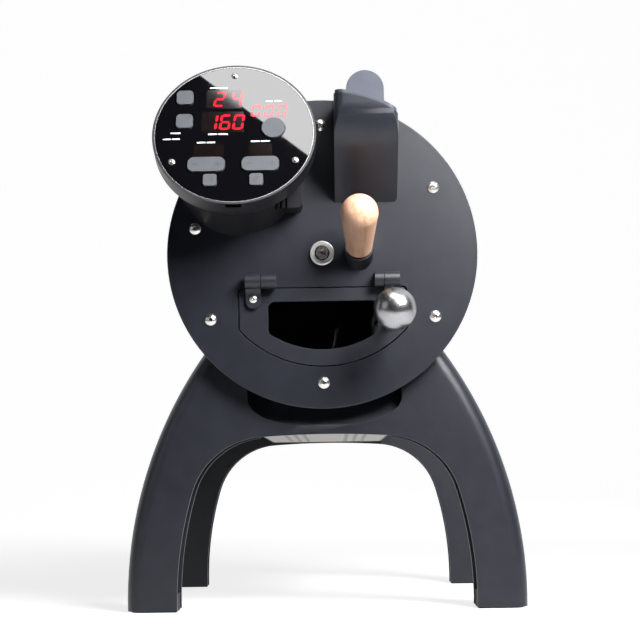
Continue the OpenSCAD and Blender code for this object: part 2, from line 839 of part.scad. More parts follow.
// A radial impeller: back plate, hub and curved blades
module fan_impeller() {
    blades = 10;
    r = housing_r - 8;
    color(dark) at_fan() difference() {
        union() {
            rod(r, fan_y, fan_y + 2);
            rod(hub_r, fan_y, fan_y + 13);
            for (i = [0 : blades - 1]) rotate([0, i * 360 / blades, 0]) slab(fan_y + 1, fan_y + 16)
                intersection() {
                    translate([28, 0]) difference() {
                        circle(20);
                        circle(18.5);
                    }
                    square(r);
                    difference() {
                        circle(r - 0.5);
                        circle(20);
                    }
                }
        }
        rod(2 + fit, fan_y - 1, fan_y + 15);
    }
}

module exhaust_collar() {
    color(steel) at_fan() difference() {
        union() {
            rod(collar_r, shell_end, cover_back + collar_out);
            rod(collar_r + 7, cover_back, cover_back + 2);
        }
        rod(collar_r - 2, shell_end - 1, cover_back + collar_out + 1);
    }
}

// ---------------------------------------------------------------- rear cover

module rear_screws_at() {
    for (a = [20, 160, 203, 337]) rotate([0, -a, 0])
        translate([shell_r, shell_end - 6, 0]) rotate([0, 0, 90]) children();
}

inlet_at = [-16, 24 - shell_in];
switch_at = [21, inlet_at[1]];

module rear_cover() {
    color(coat) at_plate() difference() {
        union() {
            turned() polygon([[0, shell_end], [shell_r, shell_end], [shell_r, cover_back - 1],
                [shell_r - 1, cover_back], [0, cover_back]]);
            pipe(shell_in - seat, shell_in - 3, shell_end - 10, shell_end);
        }
        translate([0, 0, fan_z]) rod(collar_r + seat, shell_end - 1, cover_back + 1);
        slab(shell_end - 1, cover_back + 1) {
            translate(inlet_at) square([27.4, 20.4], center = true);
            translate(switch_at) square([19.4, 13.4], center = true);
        }
        translate([cool_at[0], 0, cool_at[1]]) for (i = [-4 : 4])
            translate([-sqrt(pow(22, 2) - pow(i * 4.8, 2)), shell_end - 1, i * 4.8 - 1.4])
                cube([2 * sqrt(pow(22, 2) - pow(i * 4.8, 2)), cover_t + 2, 2.8]);
        rear_screws_at() rod(screw_d / 2 + fit, -20, 20);
        arch_screws_at(rear_face - rear_depth, rear_depth) rod(screw_d / 2 + 1, -40, 40);
    }
}

module cooling_fan_frame() {
    y0 = shell_end - 16;
    c = cool_side / 2;
    color(dark) at_plate() translate([cool_at[0], 0, cool_at[1]]) difference() {
        union() {
            difference() {
                slab(y0, shell_end - 0.5) rounded(cool_side, cool_side, 4);
                rod(c - 2, y0 - 1, shell_end);
            }
            rod(9, y0, y0 + 3);
            for (a = [45 : 90 : 315]) rotate([0, a, 0]) translate([6, y0, -1.5]) cube([c - 7, 2, 3]);
            rod(2, y0, y0 + 11);
        }
        for (sx = [-1, 1], sz = [-1, 1])
            translate([sx * (c - 4), 0, sz * (c - 4)]) rod(1.8, y0 - 1, shell_end);
    }
}

module cooling_fan_rotor() {
    y0 = shell_end - 12;
    c = cool_side / 2;
    color(rubber) at_plate() translate([cool_at[0], 0, cool_at[1]]) difference() {
        union() {
            rod(9, y0, y0 + 9);
            for (i = [0 : 6]) rotate([0, i * 360 / 7, 0]) translate([8, y0 + 4.5, 0]) rotate([35, 0, 0])
                translate([0, -0.75, -5]) cube([c - 11.5, 1.5, 10]);
        }
        rod(2 + fit, y0 - 1, y0 + 8);
    }
}

module power_inlet() {
    y1 = cover_back + 2;
    color(dark) at_plate() {
        translate([inlet_at[0], 0, inlet_at[1]]) difference() {
            union() {
                slab(shell_end - 22, y1) rounded(27, 20, 2);
                slab(cover_back, y1) rounded(32, 24, 3);
            }
            slab(shell_end - 12, y1 + 1) rounded(23.5, 16, 3);
        }
        color(brass) translate([inlet_at[0], 0, inlet_at[1]]) for (p = [[-7, -2], [0, 2], [7, -2]])
            translate([p[0] - 1, shell_end - 13, p[1] - 2]) cube([2, 16, 4]);
        translate([switch_at[0], 0, switch_at[1]]) difference() {
            union() {
                slab(shell_end - 16, y1) rounded(19, 13, 1);
                slab(cover_back, y1 - 0.5) rounded(23, 16.5, 2);
            }
            slab(shell_end - 10, y1 + 1) rounded(15, 10, 1);
            translate([0, cover_back - 1, 0]) side_slab(-8.7, 8.7) circle(switch_pin_r + fit);
        }
    }
}

// The rocker of the mains switch, tipped over its pivot
switch_pin_r = 1;
module at_switch() { at_plate() translate([switch_at[0], cover_back - 1, switch_at[1]]) children(); }

module power_switch() {
    color(dark) at_switch() {
        side_slab(-6.4, 6.4) {
            circle(3);
            polygon([[0, -4.5], [3.4, -4.5], [2.2, 0], [3.4, 4.5], [0, 4.5]]);
        }
        side_slab(-8.6, 8.6) circle(switch_pin_r);
    }
}

// ---------------------------------------------------------------- chaff collector

module chaff_can() {
    color(steel) at_fan() difference() {
        rod(can_r, can_y, can_back);
        rod(can_r - 1.5, can_y + 4, can_back + 1);
        rod(collar_r + fit * 2, can_y - 1, can_y + 5);
    }
}

// A perforated cup that keeps the chaff out of the duct
module chaff_screen() {
    r = can_r - 14;
    color(sheet) at_fan() difference() {
        union() {
            pipe(r, r - 1, can_y + 14, can_back);
            rod(r, can_y + 14, can_y + 15);
        }
        for (ring = [[14, 6], [28, 12], [40, 16]], i = [0 : ring[1] - 1])
            rotate([0, i * 360 / ring[1], 0]) translate([ring[0], 0, 0]) rod(3, can_y + 13, can_y + 16);
        for (k = [0 : 2], i = [0 : 7]) rotate([0, i * 45 + k * 22.5, 0])
            translate([r - 3, can_y + 30 + k * 20, 0]) rotate([0, 90, 0]) cylinder(r = 5, h = 6);
    }
}

module chaff_cap() {
    color(coat) at_fan() difference() {
        union() {
            turned() polygon([[0, can_back], [can_r, can_back], [can_r, can_back + cap_t - 1.5],
                [can_r - 1.5, can_back + cap_t], [0, can_back + cap_t]]);
            rod(can_r - 1.5 - seat, can_back - 6, can_back);
            rod(spigot_r, can_back, spigot_end);
        }
        rod(spigot_r - 2, can_back - 7, spigot_end + 1);
        pipe(can_r - 4, spigot_r + 6, can_back - 7, can_back);
    }
}

// ---------------------------------------------------------------- bean chute

// The front of the chute is upright, then bends back into a slope that meets the plate at chute_low
bend_at = [chute_bend_r - chute_reach, chute_turn];
to_bend = bend_at - [0, chute_low];
slope = 180 - atan2(to_bend[1], to_bend[0]) - asin(chute_bend_r / norm(to_bend));
chute_floor = chute_low + chute_wall / cos(slope);

// The chute from the side, t inside its outer face, as far as back behind the plate's face
module chute_side(t, back) {
    low = chute_low + t / cos(slope);
    top = chute_top_r + 5;
    polygon(concat([[back, top], [t - chute_reach, top]],
        arc(bend_at, chute_bend_r - t, 180, 270 - slope, 16, 0), [[0, low], [back, low]]));
}

module chute_plan(t, back) {
    r = max(chute_edge_r - t, 1);
    w = chute_w - 2 * t;
    translate([chute_x, t - chute_reach]) intersection() {
        rounded_foot(w, chute_reach + 40, r);
        translate([-w / 2, 0]) square([w, chute_reach - t + back]);
    }
}

module bean_chute() {
    color(coat) at_plate() difference() {
        intersection() {
            side_slab(chute_x - chute_w / 2 - 1, chute_x + chute_w / 2 + 1) chute_side(0, 0);
            linear_extrude(200) chute_plan(0, 0);
            rod(chute_top_r, -chute_reach - 1, 1);
            slab(-chute_reach - 1, 1) translate([chute_x, chute_low]) rounded_foot(chute_w, 100, 3);
        }
        intersection() {
            side_slab(chute_x - chute_w / 2 - 1, chute_x + chute_w / 2 + 1) chute_side(chute_wall, 5);
            linear_extrude(200) chute_plan(chute_wall, 5);
        }
    }
}

// The plug: a hollow stopper, a lid that follows the chute's curved top, and an upright tab
module chute_plug() {
    lid_t = 2.5;
    gap = 0.5;
    stop_len = 20;
    lid_r = chute_top_r + apart + lid_t;
    stop_r = tab_w / 2;
    color(rubber) at_plate() difference() {
        union() {
            intersection() {
                linear_extrude(200) chute_plan(chute_wall + gap, -1);
                pipe(lid_r, chute_top_r - stop_len, -chute_reach, 0);
                side_slab(chute_x - chute_w / 2, chute_x + chute_w / 2) chute_side(chute_wall + gap, 0);
            }
            intersection() {
                linear_extrude(200) chute_plan(1, -1);
                pipe(lid_r, chute_top_r + apart, -chute_reach, 0);
            }
            slab(-tab_y - 2, -tab_y + 2) translate([chute_x, 0]) difference() {
                union() {
                    translate([-stop_r, 50]) square([tab_w, tab_top - stop_r - 50]);
                    translate([0, tab_top - stop_r]) circle(stop_r);
                }
                translate([-chute_x, 0]) circle(lid_r - 1);
            }
        }
        intersection() {
            linear_extrude(200) chute_plan(chute_wall + gap + 2.5, -3.5);
            rod(chute_top_r - 2, -chute_reach, 0);
        }
    }
}

// ---------------------------------------------------------------- control pod

// The middle of the pod's face: x across, y into the pod, z up its face
module at_pod() {
    at_plate() translate([pod_x, -pod_y, pod_z]) rotate([-pod_tilt, 0, 0]) children();
}

// Height at which the pod's axis meets the plate
neck_z = pod_z - pod_y * tan(pod_tilt);
pod_in = pod_r - rim_w;

module pod_neck() {
    wall = 3;
    long = 120;
    block_w = 26;
    color(dark) difference() {
        union() {
            intersection() {
                at_pod() rod(neck_r, skirt_h + seat, long);
                at_plate() translate([-200, -100, -50]) cube([400, 100, 250]);
            }
            at_plate() intersection() {
                translate([pod_x + neck_r - block_w + 1, -24, neck_z - 37]) cube([block_w, 24, 40]);
                slab(-30, 1) translate([pod_x + neck_r - 20, neck_z - 37]) rounded_foot(42, 80, 5);
            }
        }
        at_pod() rod(neck_r - wall, skirt_h - 1, long + 1);
        at_plate() for (i = [0 : 2]) translate([pod_x + neck_r - 21 + i * 4, -26, neck_z - 38])
            cube([2, 8, 10]);
    }
}

module pod_housing() {
    back_r = 4;
    color(dark) at_pod() difference() {
        turned() difference() {
            union() {
                square([pod_r, skirt_h - back_r]);
                square([pod_r - back_r, skirt_h]);
                translate([pod_r - back_r, skirt_h - back_r]) circle(back_r);
            }
            translate([-1, -1]) square([pod_in + seat + 1, 1.2 + pod_glass_t + seat]);
            translate([-1, 1]) square([pod_in, skirt_h - 4]);
            translate([-1, skirt_h - 4]) square([21, 10]);
            translate([-20, -1]) square([20, 40]);
        }
        translate([-6.1, 0.8, -pod_r - 1]) cube([12.2, 4.5, 4]);
    }
}

// Places and sizes of the keys on the glass: across, up, width, height, corner radius
key_upper_at = [-38.8, 33.5, 13, 12.6, 3.2];
key_lower_at = [-38.8, 11.5, 13, 12.6, 3.2];
key_round_at = [30.6, 4.1, 18, 18, 8.99];
rocker_left_at = [-21, -28.4, 28.8, 12.8, 5];
rocker_right_at = [20.7, -28.4, 28.8, 12.8, 5];
key_one_at = [-18, -42.6, 10.4, 10.4, 2.2];
key_two_at = [17.6, -42.6, 10.4, 10.4, 2.2];
all_keys = [
    key_upper_at, key_lower_at, key_round_at, rocker_left_at, rocker_right_at, key_one_at, key_two_at
];
glass_back = 0.2 + pod_glass_t;

module key_outline(k, grow) {
    translate([k[0], k[1]]) rounded(k[2] + 2 * grow, k[3] + 2 * grow, k[4] + grow);
}

pod_screw_r = 54;
module pod_screws_at() {
    for (a = [90, 208, 332]) rotate([0, -a, 0]) translate([pod_screw_r, 0, 0]) children();
}

module pod_glass() {
    color(clear_glass) at_pod() difference() {
        rod(pod_in, 0.2, glass_back);
        for (k = all_keys) slab(-1, glass_back + 1) key_outline(k, key_gap);
        pod_screws_at() rod(1.7, -1, glass_back + 1);
    }
}

module pod_screws() {
    color(steel) at_pod() translate([0, 0.2, 0]) pod_screws_at() button_screw(3, 5.4, 1.6, 9);
}

// The display blocks: across, up, width, height
readouts = [
    [-6, 32, 26, 17], [-9, 10.6, 31, 18], [26, 21, 31, 12],
    [-19.5, -13.4, 20, 9], [20.5, -13.4, 18, 9]
];

// The board behind the glass, with its display blocks, its lamp and a switch under each key
module display_board() {
    y0 = glass_back + 5.4;
    color(board) at_pod() difference() {
        rod(pod_in - 1.2, y0, y0 + 1.6);
        pod_screws_at() rod(1.7, y0 - 1, y0 + 2);
    }
    color(dark) at_pod() {
        for (d = readouts) slab(glass_back + 0.4, y0)
            translate([d[0], d[1]]) square([d[2], d[3]], center = true);
        for (k = all_keys) translate([k[0], 0, k[1]]) rod(2, glass_back + 3.2, y0);
        translate([-42.4, 0, 41.6]) rod(0.7, glass_back, y0);
    }
}

// A rubber key: the cap stands in its hole in the glass, with a lip behind it
module key(k, lip_y) {
    color(rubber) at_pod() {
        slab(-key_out, lip_y) key_outline(k, 0);
        slab(lip_y, lip_y + 1) key_outline(k, 0.9);
    }
}

module press_key(k) { key(k, glass_back + apart); }
module rocker_key(k) { key(k, glass_back + 1); }

// ---------------------------------------------------------------- door

door_corner = 3.5;

// A circle of radius r cut by two upright lines and a level top, with round corners
module d_shape(r, half, top, c) {
    x = half - c;
    low = [x, -sqrt(pow(r - c, 2) - x * x)];
    low_a = angle_to([0, 0], low);
    both_halves(concat(arc([0, 0], r, -90, low_a, 20), arc(low, c, low_a, 0, 6),
        arc([x, -top - c], c, 0, 90, 6, 0)));
}

module door_panel() {
    color(coat) at_plate() difference() {
        slab(0, plate_t) d_shape(door_r, door_half, door_top, door_corner);
        slab(-1, plate_t + 1) d_shape(window_r, window_half, window_top, 5.5);
        strap_holes() rod(1.6, -1, plate_t + 1);
    }
}

module strap_holes() { for (s = [-1, 1]) translate([s * strap_x, 0, -hinge_z - 13.8]) children(); }

module door_glass() {
    color(clear_glass) at_plate() slab(plate_t, plate_t + glass_t - 0.5)
        d_shape(window_r + 3, window_half + 3, window_top - 3, 6);
}

module glass_retainer() {
    y1 = plate_t + glass_t + 1;
    color(steel) at_plate() difference() {
        slab(plate_t, y1) d_shape(window_r + 6.5, window_half + 6.5, window_top - 6.5, 7);
        slab(plate_t - 1, plate_t + glass_t - 0.5)
            d_shape(window_r + 3 + seat, window_half + 3 + seat, window_top - 3 - seat, 6);
        slab(plate_t - 1, y1 + 1) d_shape(window_r + 0.5, window_half + 0.5, window_top - 0.5, 5.5);
    }
}

// The side view of a strap: the knuckle and the leaf that lies on the door
module strap_side(low) {
    r = knuckle_d / 2;
    translate([-hinge_y, -hinge_z]) circle(r);
    polygon([[-hinge_y - r * 0.3, -hinge_z - 3], [-strap_t - 1.2, -hinge_z - r - 1.5],
        [-strap_t, -hinge_z - r - 4], [-strap_t, low], [0, low], [0, -door_top - seat],
        [-play, -door_top - seat], [-hinge_y + r * 0.8, -hinge_z - 2]]);
}

module strap(low) {
    r = strap_w / 2;
    intersection() {
        side_slab(strap_x - r, strap_x + r) strap_side(low);
        slab(-30, 10) translate([strap_x, low]) rounded_foot(strap_w, 80, r - 0.05);
    }
}

strap_low = -hinge_z - 21.4;
long_low = -ball_z - 9;

module hinge_straps() {
    color(coat) at_plate() difference() {
        union() {
            strap(long_low);
            mirror([1, 0, 0]) strap(strap_low);
        }
        translate([-200, -hinge_y, -hinge_z]) rotate([0, 90, 0]) cylinder(d = pin_d + 2 * fit, h = 400);
        strap_holes() rod(1.6, -10, 1);
        translate([strap_x, 0, -ball_z]) rod(2.5, -10, 1);
    }
}

module strap_screws() {
    color(steel) at_plate() translate([0, -strap_t, 0]) strap_holes()
        button_screw(3.2, 6.4, 1.8, strap_t + plate_t);
}

// The fixed knuckles and the pins that the straps swing on
lug_out = strap_x - strap_w / 2 - play;
lug_w = 12;
right_lug_w = 7;

module lug(w) {
    r = knuckle_d / 2;
    difference() {
        side_slab(lug_out - w, lug_out) {
            translate([-hinge_y, -hinge_z]) circle(r);
            translate([-hinge_y, -hinge_z - 3]) square([hinge_y, r + 3]);
        }
        translate([0, -hinge_y, -hinge_z]) rotate([0, 90, 0]) cylinder(d = pin_d + 2 * fit, h = 100);
    }
}

module hinge_lugs() {
    tip = strap_x + strap_w / 2 - 0.5;
    color(coat) at_plate() {
        lug(right_lug_w);
        mirror([1, 0, 0]) lug(lug_w);
    }
    color(steel) at_plate() mirrored() translate([lug_out - right_lug_w + 0.5, -hinge_y, -hinge_z])
        rotate([0, 90, 0]) cylinder(d = pin_d, h = tip - lug_out + right_lug_w - 0.5);
}

module door_ball() {
    color(steel) at_plate() translate([strap_x, 0, -ball_z]) {
        difference() {
            translate([0, -ball_y, 0]) sphere(d = ball_d);
            rod(stem_d / 2, -ball_y + ball_d / 2 - 8, 0);
        }
        rod(stem_d / 2, -ball_y + ball_d / 2 - 8, -strap_t);
        rod(stem_d / 2 + 1.5, -strap_t - 4, -strap_t);
        rod(2.5, -strap_t, 0);
    }
}

// ---------------------------------------------------------------- trier

// On the trier's axis at the plate's face: y runs into the drum along the trier
module at_trier() {
    translate([trier_x, 0, -trier_z]) rotate([-trier_tilt, 0, 0]) children();
}

sleeve_r = trier_d / 2 + 2;

module trier_collar() {
    lip = 4.4;
    color(dark) at_plate() difference() {
        intersection() {
            at_trier() union() {
                rod(collar_d / 2, -collar_len, 20);
                turned() polygon([[0, -collar_len], [rim_d / 2 - 0.8, -collar_len],
                    [rim_d / 2, -collar_len + 0.8], [rim_d / 2, -lip],
                    [collar_d / 2, -lip + 1.5], [0, -lip + 1.5]]);
            }
            translate([trier_x - 30, -60, -trier_z - 40]) cube([60, 60, 80]);
        }
        at_trier() rod(sleeve_r + fit, -collar_len - 1, 30);
    }
}

module trier_sleeve() {
    color(steel) at_plate() at_trier() pipe(sleeve_r, trier_d / 2 + fit, -collar_len, 6);
}

module trier_rod() {
    scoop_len = trier_in - 14;
    color(steel) at_plate() at_trier() difference() {
        rod(trier_d / 2, -handle_len + 12, trier_in);
        rod(trier_d / 2 - 1, trier_in - scoop_len, trier_in - 2);
        translate([-trier_d, trier_in - scoop_len, 0]) cube([trier_d * 2, scoop_len + 5, trier_d]);
    }
}

module trier_handle() {
    face = -collar_len - 0.5;
    d = handle_len + face;
    taper = asin((handle_r - handle_neck_r) / d);
    sink = 0.1;
    color(beech) at_plate() at_trier() difference() {
        union() {
            translate([0, -handle_len, 0]) rotate([90, 0, 0]) sphere(handle_r);
            turned() polygon([[0, face], [handle_neck_r - 0.8, face], [handle_neck_r, face - 0.8],
                [handle_r * cos(taper) - sink, -handle_len + handle_r * sin(taper)], [0, -handle_len]]);
        }
        rod(trier_d / 2 + fit, -handle_len + 12 - fit, 0);
    }
}

// ---------------------------------------------------------------- screws of the case

module case_screws() {
    color(steel) at_plate() {
        shell_holes() button_screw(screw_d, screw_head_d, screw_head_h, plate_t + flange_t + 2);
        for (y0d = [[arch_y, front_depth], [rear_face - rear_depth, rear_depth]])
            arch_screws_at(y0d[0], y0d[1])
                button_screw(screw_d, screw_head_d, screw_head_h, arch_wall + shell_wall + 2);
        rear_screws_at() button_screw(screw_d, screw_head_d, screw_head_h, shell_wall + 5);
    }
}

// ---------------------------------------------------------------- the parts

front_plate();
case_screws();
body_shell();
front_arch();
rear_arch();
feet();
box_sides();
bottom_cover();
power_board();
front_bush();
drum();
drum_vanes();
drum_shaft();
shaft_screw();
insulation_tube();
induction_coil();
bulkhead();
rear_bearing();
drum_pulley();
drive_belt();
drive_motor();
motor_pulley();
fan_housing();
fan_motor();
fan_impeller();
exhaust_collar();
rear_cover();
cooling_fan_frame();
cooling_fan_rotor();
power_inlet();
power_switch();
chaff_can();
chaff_screen();
chaff_cap();
bean_chute();
chute_plug();
pod_neck();
pod_housing();
pod_glass();
pod_screws();
display_board();
press_key(key_upper_at);  // key_upper
press_key(key_lower_at);  // key_lower
press_key(key_round_at);  // key_round
rocker_key(rocker_left_at);  // rocker_left
rocker_key(rocker_right_at);  // rocker_right
press_key(key_one_at);  // key_one
press_key(key_two_at);  // key_two
door_panel();
door_glass();
glass_retainer();
hinge_straps();
strap_screws();
hinge_lugs();
door_ball();
trier_collar();
trier_sleeve();
trier_rod();
trier_handle();
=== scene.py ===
"""The looks of the home coffee bean roaster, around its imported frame.

Metres, in the frame's axes: +Z up, -Y towards the user, +X to the user's right."""

import math

import bmesh
import bpy
from mathutils import Matrix, Vector
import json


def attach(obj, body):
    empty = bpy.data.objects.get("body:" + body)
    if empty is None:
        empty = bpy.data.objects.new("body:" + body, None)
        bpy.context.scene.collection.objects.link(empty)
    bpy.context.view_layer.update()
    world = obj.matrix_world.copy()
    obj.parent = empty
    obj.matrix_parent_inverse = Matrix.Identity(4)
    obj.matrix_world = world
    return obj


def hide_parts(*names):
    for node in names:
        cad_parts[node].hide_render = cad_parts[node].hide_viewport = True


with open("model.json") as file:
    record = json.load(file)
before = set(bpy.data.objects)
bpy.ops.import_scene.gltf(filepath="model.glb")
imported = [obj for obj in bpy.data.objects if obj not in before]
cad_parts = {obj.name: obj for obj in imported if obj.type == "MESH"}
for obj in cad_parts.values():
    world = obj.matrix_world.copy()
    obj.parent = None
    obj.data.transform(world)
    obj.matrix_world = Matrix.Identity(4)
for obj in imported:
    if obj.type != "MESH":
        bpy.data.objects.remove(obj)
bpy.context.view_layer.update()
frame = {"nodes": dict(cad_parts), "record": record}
nodes = frame["nodes"]
body_of_node = {n: b for b, members in frame["record"]["behaviour"]["bodies"].items() for n in members}

MM = 0.001
PLATE_Y = -184.25
AXIS_Z = 287.2
PLATE = Vector((0, PLATE_Y, AXIS_Z)) * MM

# ---------------------------------------------------------------- camera

# Fitted to the photo: 18 cm below the drum's axis, rolled a little, its view upwards part pitch and part shift
CAMERA_AT = Vector((0.0083, -1.37425, 0.1060))
LOOK_AT = Vector((-0.0034, -0.18425, 0.1684))
ROLL = math.radians(-0.85)
LENS = 83.7
SENSOR = 36
RISE = 0.1264
NEAR_END, FAR_END = 0.05, 60

camera_data = bpy.data.cameras.new("camera")
camera_data.lens = LENS
camera_data.sensor_width = SENSOR
camera_data.shift_y = RISE
camera_data.clip_start = NEAR_END
camera_data.clip_end = FAR_END
camera = bpy.data.objects.new("camera", camera_data)
bpy.context.scene.collection.objects.link(camera)
camera.location = CAMERA_AT
aim = (LOOK_AT - CAMERA_AT).to_track_quat("-Z", "Y")
camera.rotation_mode = "QUATERNION"
camera.rotation_quaternion = aim @ Matrix.Rotation(ROLL, 4, "Z").to_quaternion()
bpy.context.scene.camera = camera

# ---------------------------------------------------------------- materials


def shade(value):
    """A display colour, 0 to 255 a channel, as the linear colour that renders so."""
    def channel(c):
        c = c / 255
        return c / 12.92 if c <= 0.04045 else ((c + 0.055) / 1.055) ** 2.4
    return tuple(channel(c) for c in value) + (1,)


def material(name, **sockets):
    """A new material with its shader's sockets set, and the tools to add to it."""
    made = bpy.data.materials.new(name)
    made.use_nodes = True
    shader = made.node_tree.nodes["Principled BSDF"]
    for socket, value in sockets.items():
        shader.inputs[socket.replace("_", " ").title().replace("Ior", "IOR")].default_value = value
    return made, made.node_tree.nodes, made.node_tree.links, shader


def object_pattern(tree_nodes, links, scale=(1, 1, 1), turn=(0, 0, 0), kind="POINT"):
    where = tree_nodes.new("ShaderNodeTexCoord")
    mapping = tree_nodes.new("ShaderNodeMapping")
    mapping.vector_type = kind
    mapping.inputs["Rotation"].default_value = turn
    mapping.inputs["Scale"].default_value = scale
    links.new(where.outputs["Object"], mapping.inputs["Vector"])
    return mapping.outputs["Vector"]


def noise(tree_nodes, links, vector, scale, detail=2.0, roughness=0.5):
    made = tree_nodes.new("ShaderNodeTexNoise")
    made.inputs["Scale"].default_value = scale
    made.inputs["Detail"].default_value = detail
    made.inputs["Roughness"].default_value = roughness
    links.new(vector, made.inputs["Vector"])
    return made.outputs["Fac"]


def ramp(tree_nodes, links, fac, stops):
    made = tree_nodes.new("ShaderNodeValToRGB")
    elements = made.color_ramp.elements
    while len(elements) < len(stops):
        elements.new(0.5)
    for element, (at, colour) in zip(elements, stops):
        element.position = at
        element.color = colour
    links.new(fac, made.inputs["Fac"])
    return made.outputs["Color"]


def grey(value):
    return (value, value, value, 1)


def bump(tree_nodes, links, shader, height, strength, distance, soften=0.0):
    """Fine relief from a height, over edges that are softened by the given radius."""
    made = tree_nodes.new("ShaderNodeBump")
    made.inputs["Strength"].default_value = strength
    made.inputs["Distance"].default_value = distance
    links.new(height, made.inputs["Height"])
    if soften:
        edge = tree_nodes.new("ShaderNodeBevel")
        edge.samples = 4
        edge.inputs["Radius"].default_value = soften
        links.new(edge.outputs["Normal"], made.inputs["Normal"])
    links.new(made.outputs["Normal"], shader.inputs["Normal"])


FINE_SHARE = 0.65
MOTTLE_COARSER = 40
GRAIN_DEPTH = 0.0002


def coated(name, light, dark, roughness, grain, strength, soften):
    """Powder coat or moulded plastic: fine grain, faint mottling of colour and of gloss."""
    made, tree_nodes, links, shader = material(name)
    where = object_pattern(tree_nodes, links)
    fine = noise(tree_nodes, links, where, grain, 3, 0.6)
    broad = noise(tree_nodes, links, where, grain / MOTTLE_COARSER, 2, 0.5)
    mixed = tree_nodes.new("ShaderNodeMath")
    mixed.operation = "MULTIPLY_ADD"
    mixed.inputs[1].default_value = 1 - FINE_SHARE
    links.new(broad, mixed.inputs[0])
    scaled = tree_nodes.new("ShaderNodeMath")
    scaled.operation = "MULTIPLY"
    scaled.inputs[1].default_value = FINE_SHARE
    links.new(fine, scaled.inputs[0])
    links.new(scaled.outputs[0], mixed.inputs[2])
    mottled = ramp(tree_nodes, links, mixed.outputs[0], [(0.36, dark), (0.64, light)])
    links.new(mottled, shader.inputs["Base Color"])
    links.new(ramp(tree_nodes, links, fine, [(0.3, grey(roughness - 0.05)), (0.7, grey(roughness + 0.06))]),
              shader.inputs["Roughness"])
    bump(tree_nodes, links, shader, fine, strength, GRAIN_DEPTH, soften)
    return made


MARK_SCALE = 30
MARK_DEPTH = 0.0001


def metal(name, colour, roughness, streak=(60, 60, 60), strength=0.02, soften=0.0002, spread=0.08):
    """Polished or brushed metal, with faint tool marks along one direction."""
    made, tree_nodes, links, shader = material(name, base_color=colour, metallic=1.0)
    marks = noise(tree_nodes, links, object_pattern(tree_nodes, links, streak), MARK_SCALE, 4, 0.6)
    links.new(ramp(tree_nodes, links, marks, [(0.3, grey(roughness)), (0.75, grey(roughness + spread))]),
              shader.inputs["Roughness"])
    bump(tree_nodes, links, shader, marks, strength, MARK_DEPTH, soften)
    return made


coat = coated("powder_coat", shade((37, 39, 48)), shade((25, 27, 34)), 0.36, 2600, 0.45, 0.0004)
plate_coat = coated("plate_coat", shade((36, 38, 47)), shade((25, 27, 34)), 0.335, 2600, 0.45, 0.0003)
pod_plastic = coated("pod_plastic", shade((26, 26, 31)), shade((19, 19, 24)), 0.36, 3200, 0.15, 0.0003)
black_plastic = coated("black_plastic", shade((34, 34, 37)), shade((27, 27, 30)), 0.42, 3200, 0.12, 0.0003)
key_rubber = coated("key_rubber", shade((76, 79, 84)), shade((66, 69, 74)), 0.62, 4000, 0.15, 0.0004)
tab_rubber = coated("tab_rubber", shade((66, 71, 82)), shade((57, 62, 73)), 0.55, 4000, 0.15, 0.0005)
foot_rubber = coated("foot_rubber", shade((36, 36, 38)), shade((28, 28, 30)), 0.75, 2500, 0.25, 0.0004)
ceramic = coated("ceramic_fibre", shade((226, 221, 208)), shade((205, 199, 184)), 0.9, 900, 0.5, 0.0003)
board_lacquer = coated("board_lacquer", shade((28, 74, 50)), shade((20, 58, 38)), 0.35, 500, 0.1, 0.0001)
polished = metal("polished_steel", shade((226, 224, 222)), 0.12)
ball_steel = metal("ball_steel", shade((172, 172, 174)), 0.25, soften=0.0, spread=0.06)
hub_steel = metal("hub_steel", shade((226, 224, 222)), 0.38)
screw_steel = metal("screw_steel", shade((226, 222, 218)), 0.24)
brushed = metal("brushed_steel", shade((190, 188, 184)), 0.32, (8, 120, 120), 0.06, 0.0003, 0.14)
vented = metal("vented_steel", shade((150, 147, 142)), 0.36, (120, 8, 120), 0.05, 0.0002, 0.12)
# Heat-darkened steel for the drum and the parts inside it, made darker still as painted shade for the dim inside
# of the drum
drum_steel = metal("drum_steel", shade((50, 48, 47)), 0.5, (120, 10, 120), 0.08, 0.0003, 0.16)
copper = metal("lacquered_copper", shade((200, 128, 88)), 0.28, (10, 200, 10), 0.12, 0.0002, 0.1)


def make_panel_glass():
    """Black glass: printed black from behind, with a mirror gloss."""
    made, tree_nodes, links, shader = material("panel_glass", base_color=shade((9, 9, 12)), ior=1.62)
    haze = noise(tree_nodes, links, object_pattern(tree_nodes, links), 90, 2, 0.5)
    gloss = ramp(tree_nodes, links, haze, [(0.3, grey(0.01)), (0.8, grey(0.025))])
    links.new(gloss, shader.inputs["Roughness"])
    return made


def make_window_glass():
    made, tree_nodes, links, shader = material("window_glass", base_color=shade((235, 240, 240)), ior=1.47,
                                               transmission_weight=1.0)
    haze = noise(tree_nodes, links, object_pattern(tree_nodes, links), 60, 2, 0.5)
    links.new(ramp(tree_nodes, links, haze, [(0.3, grey(0.01)), (0.8, grey(0.05))]), shader.inputs["Roughness"])
    return made


def make_segment_glow():
    """A lit display segment, seen through the glass's gloss."""
    made, tree_nodes, links, shader = material("segment_glow", base_color=shade((20, 4, 6)), roughness=0.05,
                                               emission_strength=1.6)
    blotch = noise(tree_nodes, links, object_pattern(tree_nodes, links), 500, 2, 0.5)
    links.new(ramp(tree_nodes, links, blotch, [(0.3, shade((236, 22, 44))), (0.7, shade((255, 40, 62)))]),
              shader.inputs["Emission Color"])
    return made


def make_smoked_window():
    """The faintly brown filter over an unlit display."""
    made, tree_nodes, links, shader = material("smoked_window", roughness=0.06, ior=1.6)
    blotch = noise(tree_nodes, links, object_pattern(tree_nodes, links), 400, 2, 0.5)
    links.new(ramp(tree_nodes, links, blotch, [(0.3, shade((15, 11, 11))), (0.7, shade((22, 16, 15)))]),
              shader.inputs["Base Color"])
    return made


